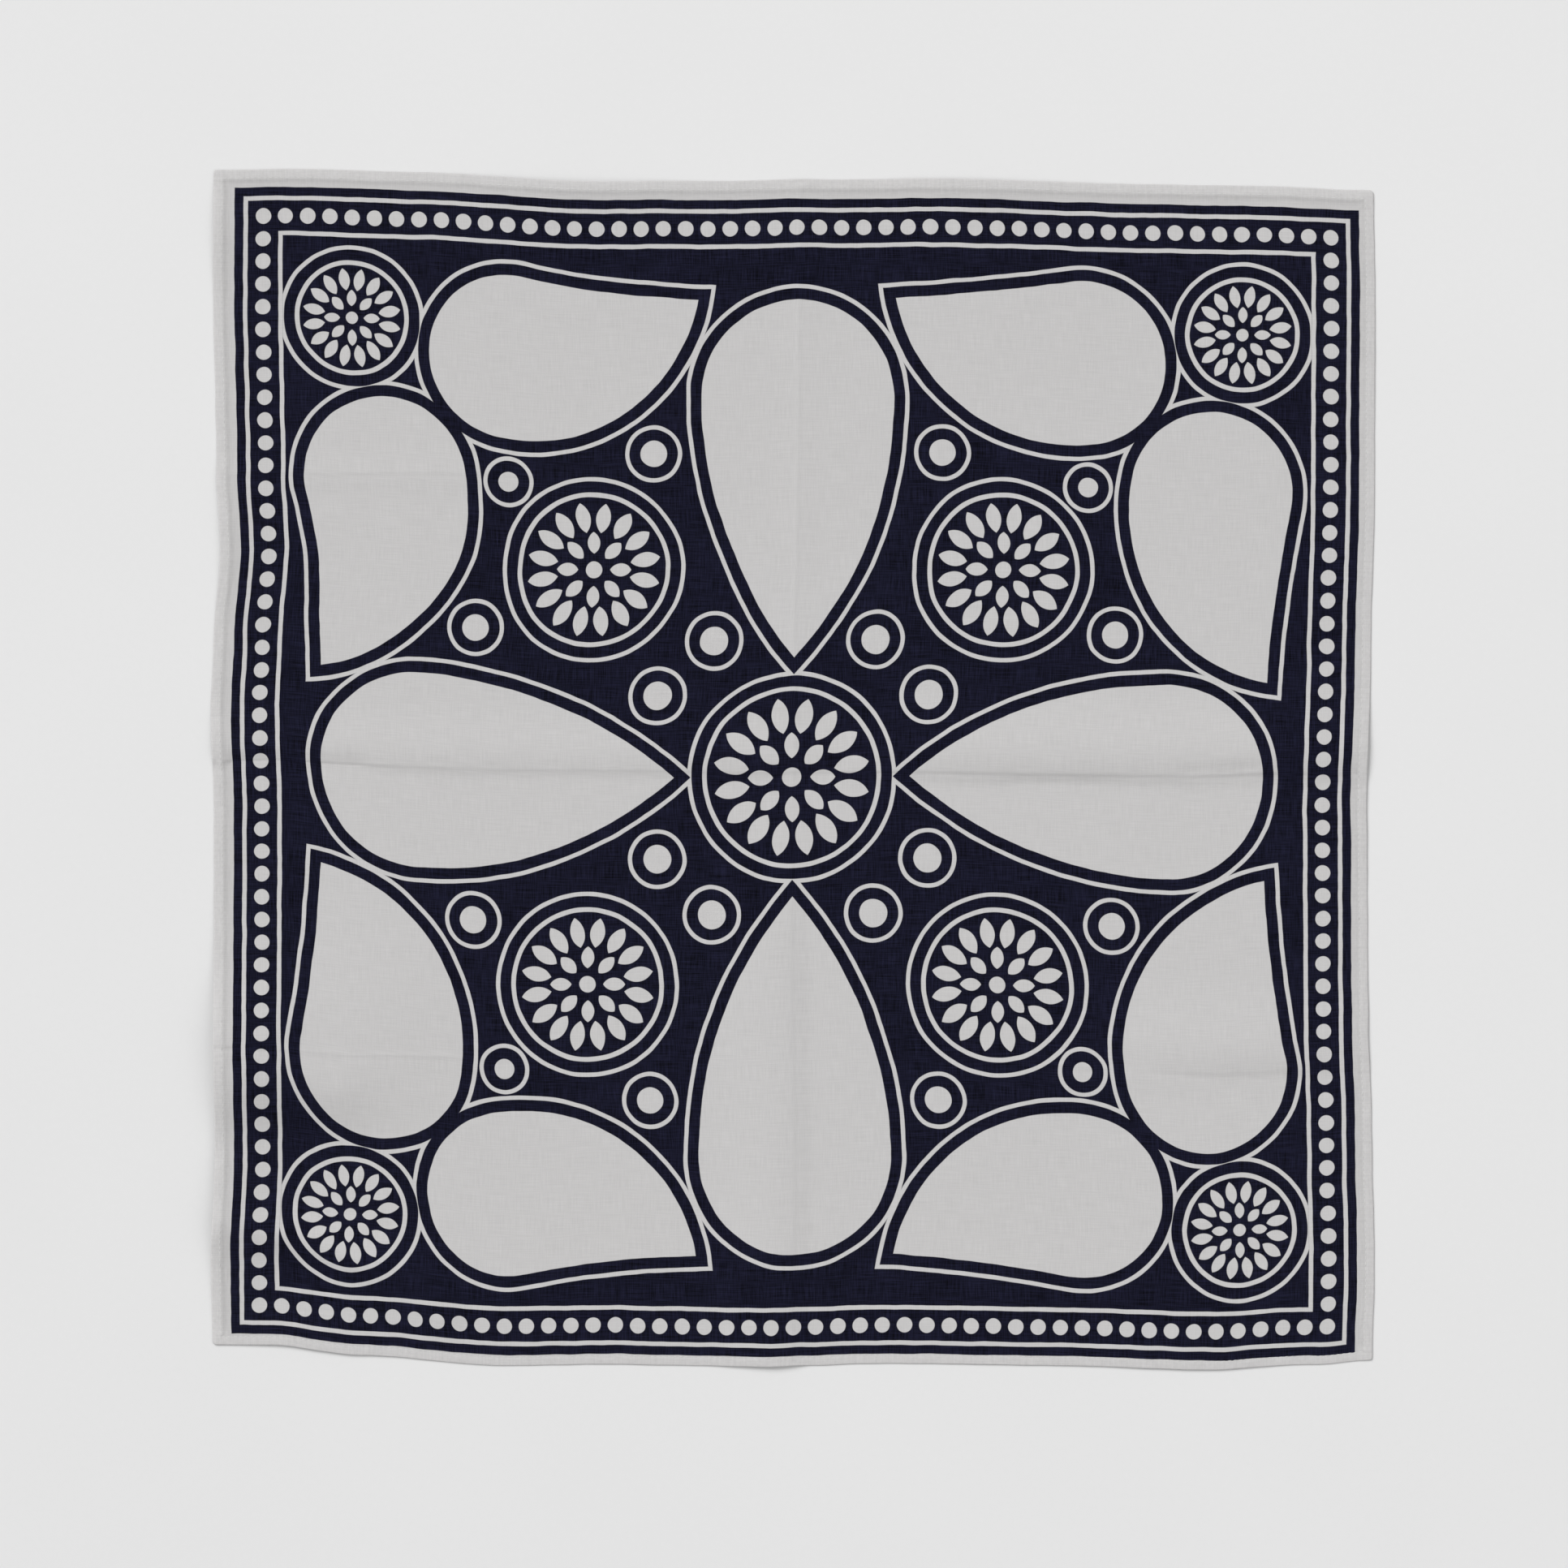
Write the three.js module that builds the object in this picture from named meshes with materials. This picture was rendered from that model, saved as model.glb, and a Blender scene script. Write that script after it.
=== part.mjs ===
// A cotton bandana laid out flat: one thin square of cloth with a narrow hem turned on all four sides.
// It was folded in four and pressed, so its middle folds and fainter quarter folds still stand in it,
// and its edges wander and lift a little off the surface that it lies on.
// Millimetres. +X is across the cloth, +Y is up its face, +Z is up from the surface.

import * as THREE from "three";
import { mergeVertices } from "three/addons/utils/BufferGeometryUtils.js";

// ---- Driving dimensions ----
const CLOTH_THICKNESS = 1.0; // a solid's least thickness, for a fabric that is thinner
const HEM_WIDTH = 4.6;
const HEM_EXTRA = 0.6; // how much the two turns of the hem add to the thickness
const HEM_SLOPE = 1.4; // the run in which the hem's step comes down to the single cloth
const LARGEST_STEP = 17; // the widest that a facet of the cloth may be
const FOLD_LINES = [0, 6, 13, 24]; // how far from a fold the facets' edges run along it

// Where the four corners of the hemmed square lie. It isn't quite square on.
const CORNERS = {
  topLeft: new THREE.Vector2(-264.5, 273.5),
  topRight: new THREE.Vector2(265, 264),
  bottomLeft: new THREE.Vector2(-265, -263),
  bottomRight: new THREE.Vector2(264.5, -270),
};

// How far each edge stands out from the straight line between its corners.
// share: the place along the edge, from 0 at its left or top end; out: millimetres, away from the middle.
const EDGE_WANDER = {
  top: [
    { share: 0.08, out: 1.1 },
    { share: 0.18, out: 0.5 },
    { share: 0.32, out: -2.3 },
    { share: 0.42, out: -1.2 },
    { share: 0.52, out: 0.6 },
    { share: 0.64, out: 2.0 },
    { share: 0.78, out: 1.0 },
    { share: 0.9, out: 1.1 },
  ],
  bottom: [
    { share: 0.05, out: -0.3 },
    { share: 0.13, out: 3.9 },
    { share: 0.25, out: 7.8 },
    { share: 0.34, out: 6.5 },
    { share: 0.46, out: 6.7 },
    { share: 0.6, out: 4.3 },
    { share: 0.74, out: 4.4 },
    { share: 0.85, out: 5.5 },
    { share: 0.95, out: 2.4 },
  ],
  left: [
    { share: 0.1, out: 0.1 },
    { share: 0.26, out: -1.5 },
    { share: 0.32, out: -3.3 },
    { share: 0.4, out: -0.3 },
    { share: 0.46, out: 1.0 },
    { share: 0.54, out: -0.4 },
    { share: 0.67, out: -0.5 },
    { share: 0.84, out: -1.2 },
    { share: 0.93, out: 0.4 },
  ],
  right: [
    { share: 0.08, out: 0.8 },
    { share: 0.25, out: 0.7 },
    { share: 0.4, out: -1.0 },
    { share: 0.52, out: -2.8 },
    { share: 0.62, out: -2.4 },
    { share: 0.71, out: -2.0 },
    { share: 0.8, out: -0.4 },
    { share: 0.92, out: 0.9 },
  ],
};

// The press folds. runs: the way the fold runs; path: where it lies, measured from the middle of the
// cloth, at shares of the way along it.
const FOLDS = {
  middleAcross: {
    runs: "across",
    path: [
      { share: 0, place: -2.0 },
      { share: 0.15, place: -1.0 },
      { share: 0.3, place: 0.9 },
      { share: 0.68, place: -0.8 },
      { share: 0.95, place: 1.1 },
    ],
  },
  middleDown: {
    runs: "down",
    path: [
      { share: 0, place: 0.5 },
      { share: 0.3, place: 1.0 },
      { share: 0.54, place: 2.0 },
      { share: 0.67, place: 0.0 },
      { share: 0.81, place: 1.8 },
      { share: 0.95, place: 2.8 },
    ],
  },
  lowerQuarter: {
    runs: "across",
    path: [
      { share: 0, place: -132.3 },
      { share: 0.06, place: -133.6 },
      { share: 0.26, place: -130.4 },
      { share: 1, place: -134.8 },
    ],
  },
  upperQuarter: {
    runs: "across",
    path: [
      { share: 0, place: 128.5 },
      { share: 0.27, place: 133.2 },
      { share: 1, place: 132.8 },
    ],
  },
};

// The cloth stands a little proud of the surface beside each fold. side: 1 above or right of the fold,
// -1 below or left of it, 0 over it; past: how far past the fold the swell's foot lies; rise: its
// height; reach: how far it spreads; from, to: the stretch of the fold that it follows, as shares of
// the cloth, where less than 0 and more than 1 are past the edge.
const SWELLS = [
  { fold: "middleAcross", side: 1, past: 3.2, rise: 1.3, reach: 34, from: -0.3, to: 0.6 },
  { fold: "middleAcross", side: 1, past: 4.8, rise: 2.3, reach: 46, from: 0.5, to: 1.08 },
  { fold: "middleDown", side: 0, past: 0, rise: 0.3, reach: 13, from: 0.46, to: 1.3 },
  { fold: "middleDown", side: -1, past: 7, rise: 1.4, reach: 52, from: -0.3, to: 0.5 },
  { fold: "lowerQuarter", side: 1, past: 38, rise: 3.2, reach: 120, from: -0.3, to: 0.25 },
  { fold: "lowerQuarter", side: 0, past: 0, rise: 0.5, reach: 13, from: 0.6, to: 0.98 },
  { fold: "lowerQuarter", side: 1, past: 4, rise: 1.9, reach: 50, from: 0.72, to: 1.04 },
  { fold: "upperQuarter", side: 0, past: 0, rise: 0.4, reach: 12, from: -0.3, to: 0.5 },
];

// Where an edge has come up off the surface. side: the edge; from, peak, to: where along it the lift
// begins, stands highest and ends; rise: its height; inward: how far in the cloth has left the surface.
const LIFTS = [
  { side: "left", from: -262, peak: -200, to: -150, rise: 4.0, inward: 48 },
  { side: "left", from: -224, peak: -136, to: -92, rise: 4.4, inward: 58 },
  { side: "left", from: 62, peak: 104, to: 140, rise: 1.4, inward: 30 },
  { side: "left", from: 205, peak: 240, to: 270, rise: 1.6, inward: 22 },
  { side: "bottom", from: -262, peak: -226, to: -150, rise: 0.8, inward: 34 },
  { side: "bottom", from: 110, peak: 180, to: 236, rise: 0.5, inward: 28 },
  { side: "top", from: -170, peak: -100, to: -20, rise: 1.6, inward: 34 },
  { side: "top", from: 20, peak: 80, to: 150, rise: 1.0, inward: 26 },
  { side: "right", from: -60, peak: 4, to: 70, rise: 0.4, inward: 26 },
];

// ---- The edges and the plan of the cloth ----
// A function of the share of the way along, which goes through each row's value without a corner.
function curveThrough(rows, value) {
  return (share) => {
    const next = rows.findIndex((row) => row.share >= share);
    if (next === -1) return rows[rows.length - 1][value];
    if (next === 0) return rows[0][value];
    const from = rows[next - 1];
    const to = rows[next];
    const part = THREE.MathUtils.smoothstep(share, from.share, to.share);
    return THREE.MathUtils.lerp(from[value], to[value], part);
  };
}

const wander = Object.fromEntries(
  Object.entries(EDGE_WANDER).map(([side, rows]) => {
    const ends = [{ share: 0, out: 0 }, ...rows, { share: 1, out: 0 }];
    return [side, curveThrough(ends, "out")];
  }),
);

const foldPlace = Object.fromEntries(
  Object.entries(FOLDS).map(([name, fold]) => [name, curveThrough(fold.path, "place")]),
);

const edgePoint = {
  top: (across) => pointOnEdge(CORNERS.topLeft, CORNERS.topRight, across, 0, wander.top(across)),
  bottom: (across) => pointOnEdge(CORNERS.bottomLeft, CORNERS.bottomRight, across, 0, -wander.bottom(across)),
  left: (up) => pointOnEdge(CORNERS.bottomLeft, CORNERS.topLeft, up, -wander.left(1 - up), 0),
  right: (up) => pointOnEdge(CORNERS.bottomRight, CORNERS.topRight, up, wander.right(1 - up), 0),
};

function pointOnEdge(from, to, share, aside, above) {
  return from.clone().lerp(to, share).add(new THREE.Vector2(aside, above));
}

// The cloth between its four edges: the edges are blended across and up it, less the blend of its corners.
function planPoint(across, up) {
  const sides = edgePoint.left(up).lerp(edgePoint.right(up), across);
  const ends = edgePoint.bottom(across).lerp(edgePoint.top(across), up);
  const low = CORNERS.bottomLeft.clone().lerp(CORNERS.bottomRight, across);
  const high = CORNERS.topLeft.clone().lerp(CORNERS.topRight, across);
  return sides.add(ends).sub(low.lerp(high, up));
}

// ---- The relief: how far the underside is off the surface ----
const width = CORNERS.topRight.x - CORNERS.topLeft.x;
const height = CORNERS.topLeft.y - CORNERS.bottomLeft.y;

const SWELL_FADE = 0.16; // the share of the cloth in which a swell comes up or dies out

// The height of a swell at a distance from its fold, both as shares: over the fold, or beside it.
const overFold = (away) => Math.cos((Math.PI / 2) * away) ** 2;
const besideFold = (away) => Math.sin(Math.PI * away ** 0.6) ** 2;

function swellRise(swell, across, up) {
  const runsAcross = FOLDS[swell.fold].runs === "across";
  const along = runsAcross ? across : up;
  const aside = runsAcross ? (up - 0.5) * height : (across - 0.5) * width;
  const offset = aside - foldPlace[swell.fold](along);
  const away = (swell.side === 0 ? Math.abs(offset) : offset * swell.side + swell.past) / swell.reach;
  if (away < 0 || away > 1) return 0;
  const comingUp = THREE.MathUtils.smoothstep(along, swell.from, swell.from + SWELL_FADE);
  const dyingOut = 1 - THREE.MathUtils.smoothstep(along, swell.to - SWELL_FADE, swell.to);
  return swell.rise * comingUp * dyingOut * (swell.side === 0 ? overFold(away) : besideFold(away));
}

function liftRise(lift, across, up) {
  const upright = lift.side === "left" || lift.side === "right";
  const along = upright ? (up - 0.5) * height : (across - 0.5) * width;
  const fromEdge = {
    left: across * width,
    right: (1 - across) * width,
    bottom: up * height,
    top: (1 - up) * height,
  }[lift.side];
  const comingUp = THREE.MathUtils.smoothstep(along, lift.from, lift.peak);
  const goingDown = 1 - THREE.MathUtils.smoothstep(along, lift.peak, lift.to);
  const inFrom = THREE.MathUtils.smoothstep(1 - fromEdge / lift.inward, 0, 1);
  return lift.rise * comingUp * goingDown * inFrom;
}

function underside(across, up) {
  const swells = SWELLS.map((swell) => swellRise(swell, across, up));
  const lifts = LIFTS.map((lift) => liftRise(lift, across, up));
  return Math.max(...swells) + Math.max(...lifts);
}

function thickness(across, up) {
  const inEdge = Math.min(across, 1 - across) * width;
  const endEdge = Math.min(up, 1 - up) * height;
  const inside = (Math.min(inEdge, endEdge) - HEM_WIDTH) / HEM_SLOPE;
  return CLOTH_THICKNESS + HEM_EXTRA * (1 - THREE.MathUtils.clamp(inside, 0, 1));
}

// ---- The grid of the cloth: lines at the hem and about each fold, and even steps between them ----
function gridShares(size, runs) {
  const hemLines = [0, HEM_WIDTH, HEM_WIDTH + HEM_SLOPE].flatMap((inset) => [inset, size - inset]);
  const folds = Object.keys(FOLDS).filter((name) => FOLDS[name].runs === runs);
  const foldLines = folds.flatMap((name) => {
    const middle = size / 2 + Math.round(foldPlace[name](0.5));
    return FOLD_LINES.flatMap((inset) => [middle - inset, middle + inset]);
  });
  const stops = [...new Set([...hemLines, ...foldLines])].sort((a, b) => a - b);
  const lines = [0];
  stops.slice(1).forEach((stop, index) => {
    const gap = stop - stops[index];
    const parts = Math.ceil(gap / LARGEST_STEP);
    for (let part = 1; part <= parts; part += 1) {
      lines.push((stops[index] + (gap * part) / parts) / size);
    }
  });
  return lines;
}

// ---- The cloth: a subdivided slab, each of whose points is laid in its place ----
function layCloth() {
  const acrossShares = gridShares(width, "down");
  const upShares = gridShares(height, "across");
  const columns = acrossShares.length - 1;
  const rows = upShares.length - 1;
  const slab = new THREE.BoxGeometry(columns, rows, 1, columns, rows, 1);
  const points = slab.getAttribute("position");
  for (let index = 0; index < points.count; index += 1) {
    const across = acrossShares[Math.round(points.getX(index) + columns / 2)];
    const up = upShares[Math.round(points.getY(index) + rows / 2)];
    const plan = planPoint(across, up);
    const onTop = points.getZ(index) > 0;
    const level = underside(across, up) + (onTop ? thickness(across, up) : 0);
    points.setXYZ(index, plan.x, plan.y, level);
  }
  slab.deleteAttribute("normal");
  slab.deleteAttribute("uv");
  const sheet = mergeVertices(slab, 0.001);
  sheet.computeVertexNormals();
  sheet.computeBoundingBox();
  const middle = sheet.boundingBox.getCenter(new THREE.Vector3());
  return sheet.translate(-middle.x, -middle.y, -sheet.boundingBox.min.z);
}

const cotton = new THREE.MeshStandardMaterial({ color: 0xc4c3c2, roughness: 0.9, metalness: 0 });

const cloth = new THREE.Mesh(layCloth(), cotton);
cloth.name = "hemmed_cloth";

const bandana = new THREE.Group();
bandana.add(cloth);

export default bandana;
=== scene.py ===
# %% [markdown]
# # A printed cotton bandana, laid out flat
#
# The real thing is one square of thin cotton lawn, about 53 cm across, with a narrow turned hem and a
# navy print on its pale grey face. It was folded in eight and pressed, then opened and laid on a table,
# so the folds still stand in it, its edges wander, and its lower left edge has come up off the table.
#
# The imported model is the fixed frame: it says where the cloth lies and how high its folds stand. This
# script adds what the eye looks for: a cloth as thin as real lawn, a hem with its stitches, the weave
# and the print.

import functools
import math

import bmesh
import bpy
from mathutils import Matrix, Vector, noise


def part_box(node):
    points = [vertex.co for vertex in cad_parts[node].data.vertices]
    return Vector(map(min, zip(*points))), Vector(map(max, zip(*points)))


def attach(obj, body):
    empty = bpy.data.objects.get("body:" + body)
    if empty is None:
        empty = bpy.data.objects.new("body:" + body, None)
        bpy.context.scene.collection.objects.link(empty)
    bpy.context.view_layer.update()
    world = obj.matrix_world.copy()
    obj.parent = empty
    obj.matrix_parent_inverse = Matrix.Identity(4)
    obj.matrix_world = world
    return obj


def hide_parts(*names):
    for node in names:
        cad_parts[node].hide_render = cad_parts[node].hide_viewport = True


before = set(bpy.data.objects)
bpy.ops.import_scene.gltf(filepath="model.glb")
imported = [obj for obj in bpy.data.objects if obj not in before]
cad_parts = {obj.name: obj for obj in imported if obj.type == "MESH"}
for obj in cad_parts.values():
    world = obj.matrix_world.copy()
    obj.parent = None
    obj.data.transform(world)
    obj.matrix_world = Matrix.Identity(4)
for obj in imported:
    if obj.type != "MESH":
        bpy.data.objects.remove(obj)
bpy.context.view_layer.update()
cloth_low, cloth_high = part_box("hemmed_cloth")
cloth_middle = (cloth_low + cloth_high) / 2

MM = 0.001
print("nodes in the packed model:", len(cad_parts))
print("the solid cloth, in mm:", [round(size / MM, 1) for size in cloth_high - cloth_low])

# %% [markdown]
# ## The camera
#
# A cloth that lies flat is looked at from straight above. A long lens from well up keeps the picture
# free of perspective, so that all four hems look equally wide. The lens follows from how much table
# the picture is to show: the sensor's width is to the lens as the table's width is to the height.

# %% The camera
VIEW_WIDTH = 716 * MM
VIEW_OFFSET = Vector((-4.1, -6.7, 0)) * MM
CAMERA_HEIGHT = 3.0
SENSOR_WIDTH = 36.0

camera_lens = bpy.data.cameras.new("camera")
camera_lens.sensor_width = SENSOR_WIDTH
camera_lens.lens = SENSOR_WIDTH * CAMERA_HEIGHT / VIEW_WIDTH
camera = bpy.data.objects.new("camera", camera_lens)
camera.location = cloth_middle + VIEW_OFFSET
camera.location.z = CAMERA_HEIGHT
bpy.context.scene.collection.objects.link(camera)
bpy.context.scene.camera = camera
print("lens, in mm:", round(camera_lens.lens))

# %% [markdown]
# ## Light
#
# Shadows are what show how thin a cloth is. A broad lamp, low at the upper left, gives each hem a
# short soft shadow on its far side and shades the slopes that face away from it. A weaker one from
# the right keeps the folds open, and an even pale surround does the rest. Sun lamps are used, because
# their light is as strong at one end of the table as at the other, and a wide angle makes a sun as
# soft as a big studio box.

# %% The lamps and the surround
LAMPS = [
    {"name": "key", "strength": 2.33, "softness": 34, "from": Vector((-0.9, 0.95, 1.0))},
    {"name": "fill", "strength": 0.57, "softness": 70, "from": Vector((0.9, -0.4, 1.4))},
]
SURROUND = 0.40

for lamp in LAMPS:
    sun = bpy.data.lights.new(lamp["name"], "SUN")
    sun.energy = lamp["strength"]
    sun.angle = math.radians(lamp["softness"])
    sun_object = bpy.data.objects.new(lamp["name"], sun)
    sun_object.rotation_mode = "QUATERNION"
    sun_object.rotation_quaternion = lamp["from"].to_track_quat("Z", "Y")
    bpy.context.scene.collection.objects.link(sun_object)

surround = bpy.data.worlds.new("surround")
surround.use_nodes = True
surround.node_tree.nodes["Background"].inputs["Color"].default_value = (1, 1, 1, 1)
surround.node_tree.nodes["Background"].inputs["Strength"].default_value = SURROUND
bpy.context.scene.world = surround
bpy.context.scene.view_settings.view_transform = "Standard"
print("lamps:", [lamp["name"] for lamp in LAMPS])

# %% [markdown]
# ## The outline
#
# A hemmed square is never quite square: the hem draws it in here and lets it out there. Its corners
# are placed one by one, and a short table says how far each edge stands out between them. `smooth`
# runs from 0 to 1 without a corner at either end, so the edge between two rows has none either.

# %% The corners and the wandering edges, in millimetres
CORNERS = {
    "top left": Vector((-264.5, 273.5)),
    "top right": Vector((265, 264)),
    "bottom left": Vector((-265, -263)),
    "bottom right": Vector((264.5, -270)),
}
WIDTH = CORNERS["top right"].x - CORNERS["top left"].x
HEIGHT = CORNERS["top left"].y - CORNERS["bottom left"].y

# The share of an edge from its left or top end, and how far it stands out there.
EDGE_WANDER = {
    "top": {0.08: 1.1, 0.18: 0.5, 0.32: -2.3, 0.42: -1.2, 0.52: 0.6, 0.64: 2.0, 0.78: 1.0, 0.9: 1.1},
    "bottom": {0.05: -0.3, 0.13: 3.9, 0.25: 7.8, 0.34: 6.5, 0.46: 6.7, 0.6: 4.3, 0.74: 4.4, 0.85: 5.5,
               0.95: 2.4},
    "left": {0.1: 0.1, 0.26: -1.5, 0.32: -3.3, 0.4: -0.3, 0.46: 1.0, 0.54: -0.4, 0.67: -0.5, 0.84: -1.2,
             0.93: 0.4},
    "right": {0.08: 0.8, 0.25: 0.7, 0.4: -1.0, 0.52: -2.8, 0.62: -2.4, 0.71: -2.0, 0.8: -0.4, 0.92: 0.9},
}
TREMBLE = {"reach": 0.22, "size": 13.0}


def clamp(value, low=0.0, high=1.0):
    return max(low, min(high, value))


def smooth(value, start=0.0, end=1.0):
    share = clamp((value - start) / (end - start))
    return share * share * (3 - 2 * share)


def rough(x, y, size, layer=0.0):
    """Even noise from -1 to 1, in millimetres: its patches are about as wide as the size."""
    return noise.noise(Vector((x / size, y / size, layer)))


def follow(table, share):
    """The value at one share, in a table whose rows are shares and values, with no corner between them."""
    rows = list(table.items())
    for (start, value), (end, next_value) in zip(rows, rows[1:]):
        if share <= end:
            return value + (next_value - value) * smooth(share, start, end)
    return rows[-1][1]


def wander(side, share):
    tremble = TREMBLE["reach"] * rough(share * WIDTH, 0, TREMBLE["size"], sum(map(ord, side)))
    return follow({0.0: 0.0, **EDGE_WANDER[side], 1.0: 0.0}, share) + tremble


def plan(across, up):
    """Where a place in the cloth lies on the table. The edges are blended, less the blend of the corners."""
    left = CORNERS["bottom left"].lerp(CORNERS["top left"], up) - Vector((wander("left", 1 - up), 0))
    right = CORNERS["bottom right"].lerp(CORNERS["top right"], up) + Vector((wander("right", 1 - up), 0))
    bottom = CORNERS["bottom left"].lerp(CORNERS["bottom right"], across)
    top = CORNERS["top left"].lerp(CORNERS["top right"], across)
    straight = bottom.lerp(top, up)
    ends = (bottom - Vector((0, wander("bottom", across)))).lerp(top + Vector((0, wander("top", across))), up)
    return left.lerp(right, across) + ends - straight


print("the hemmed square, in mm:", WIDTH, "by", HEIGHT)

# %% [markdown]
# ## The folds
#
# Where a fold was pressed, the cloth stands up on one side and drops over the fold to the other, so a
# fold is a step more than it is a groove. Each swell is half of a soft wave beside a fold, and each
# lift is an edge that has come up. A sharp crease, only a few millimetres wide, runs down the fold
# itself. Cloth simulation would sag these out again, so they are laid by formula, as pressed.

# %% The folds, in millimetres
# A fold's path: the share of the way along it, and how far it is there from the middle of the cloth.
FOLDS = {
    "middle across": {"runs": "across", "path": {0.0: -2.0, 0.15: -1.0, 0.3: 0.9, 0.68: -0.8, 0.95: 1.1}},
    "middle down": {"runs": "down", "path": {0.0: 0.5, 0.3: 1.0, 0.54: 2.0, 0.67: 0.0, 0.81: 1.8, 0.95: 2.8}},
    "lower quarter": {"runs": "across", "path": {0.0: -132.3, 0.06: -133.6, 0.26: -130.4, 1.0: -134.8}},
    "upper quarter": {"runs": "across", "path": {0.0: 128.5, 0.27: 133.2, 1.0: 132.8}},
}

# side: 1 above or right of the fold, -1 below or left, 0 over it; past: how far the swell's foot lies
# past the fold; from and to are shares of the fold's length.
SWELLS = [
    {"fold": "middle across", "side": 1, "past": 3.2, "rise": 1.3, "reach": 34, "from": -0.3, "to": 0.60},
    {"fold": "middle across", "side": 1, "past": 4.8, "rise": 2.3, "reach": 46, "from": 0.50, "to": 1.08},
    {"fold": "middle down", "side": 0, "past": 0, "rise": 0.3, "reach": 13, "from": 0.46, "to": 1.3},
    {"fold": "middle down", "side": -1, "past": 7, "rise": 1.4, "reach": 52, "from": -0.3, "to": 0.50},
    {"fold": "lower quarter", "side": 1, "past": 38, "rise": 3.2, "reach": 120, "from": -0.3, "to": 0.25},
    {"fold": "lower quarter", "side": 0, "past": 0, "rise": 0.5, "reach": 13, "from": 0.60, "to": 0.98},
    {"fold": "lower quarter", "side": 1, "past": 4, "rise": 1.9, "reach": 50, "from": 0.72, "to": 1.04},
    {"fold": "upper quarter", "side": 0, "past": 0, "rise": 0.4, "reach": 12, "from": -0.3, "to": 0.50},
]
SWELL_FADE = 0.16
# At 1 a swell's crest would be halfway along its reach. Below 1 it is nearer to the fold.
SWELL_SKEW = 0.6

# from, peak and to: places along the edge; inward: how far in the cloth has left the table.
LIFTS = [
    {"side": "left", "from": -262, "peak": -200, "to": -150, "rise": 4.0, "inward": 48},
    {"side": "left", "from": -224, "peak": -136, "to": -92, "rise": 4.4, "inward": 58},
    {"side": "left", "from": 62, "peak": 104, "to": 140, "rise": 1.4, "inward": 30},
    {"side": "left", "from": 205, "peak": 240, "to": 270, "rise": 1.6, "inward": 22},
    {"side": "bottom", "from": -262, "peak": -226, "to": -150, "rise": 0.8, "inward": 34},
    {"side": "bottom", "from": 110, "peak": 180, "to": 236, "rise": 0.5, "inward": 28},
    {"side": "top", "from": -170, "peak": -100, "to": -20, "rise": 1.6, "inward": 34},
    {"side": "top", "from": 20, "peak": 80, "to": 150, "rise": 1.0, "inward": 26},
    {"side": "right", "from": -60, "peak": 4, "to": 70, "rise": 0.4, "inward": 26},
]


def from_fold(fold, across, up):
    """How far a place is above or right of a fold, and its share of the way along the fold."""
    x, y = (across - 0.5) * WIDTH, (up - 0.5) * HEIGHT
    along, aside = (across, y) if fold["runs"] == "across" else (up, x)
    return aside - follow(fold["path"], along), along


def swell_rise(row, across, up):
    aside, along = from_fold(FOLDS[row["fold"]], across, up)
    away = (aside * row["side"] + row["past"]) / row["reach"] if row["side"] else abs(aside) / row["reach"]
    if not 0 <= away <= 1:
        return 0.0
    shape = math.sin(math.pi * away**SWELL_SKEW) ** 2 if row["side"] else math.cos(math.pi / 2 * away) ** 2
    coming_up = smooth(along, row["from"], row["from"] + SWELL_FADE)
    dying_out = 1 - smooth(along, row["to"] - SWELL_FADE, row["to"])
    return row["rise"] * coming_up * dying_out * shape


def lift_rise(row, across, up):
    upright = row["side"] in ("left", "right")
    along = (up - 0.5) * HEIGHT if upright else (across - 0.5) * WIDTH
    inset = {
        "left": across * WIDTH,
        "right": (1 - across) * WIDTH,
        "bottom": up * HEIGHT,
        "top": (1 - up) * HEIGHT,
    }[row["side"]]
    over = smooth(along, row["from"], row["peak"]) * (1 - smooth(along, row["peak"], row["to"]))
    return row["rise"] * over * smooth(1 - inset / row["inward"])


def broad_relief(across, up):
    """How far the folds and lifted edges hold the cloth off the table."""
    swells = max(swell_rise(row, across, up) for row in SWELLS)
    lifts = max(lift_rise(row, across, up) for row in LIFTS)
    return swells + lifts


print("folds:", len(FOLDS), "swells:", len(SWELLS), "lifted edges:", len(LIFTS))

# %% [markdown]
# ## Creases and small marks
#
# A pressed line is sharp: a step or a lip under half a millimetre high, which comes and goes. Where a
# fold runs over the thick hem it leaves a pinch instead. Between the folds, lawn is never dead flat,
# so broad shallow noise moves the whole cloth by a quarter of a millimetre.

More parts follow.
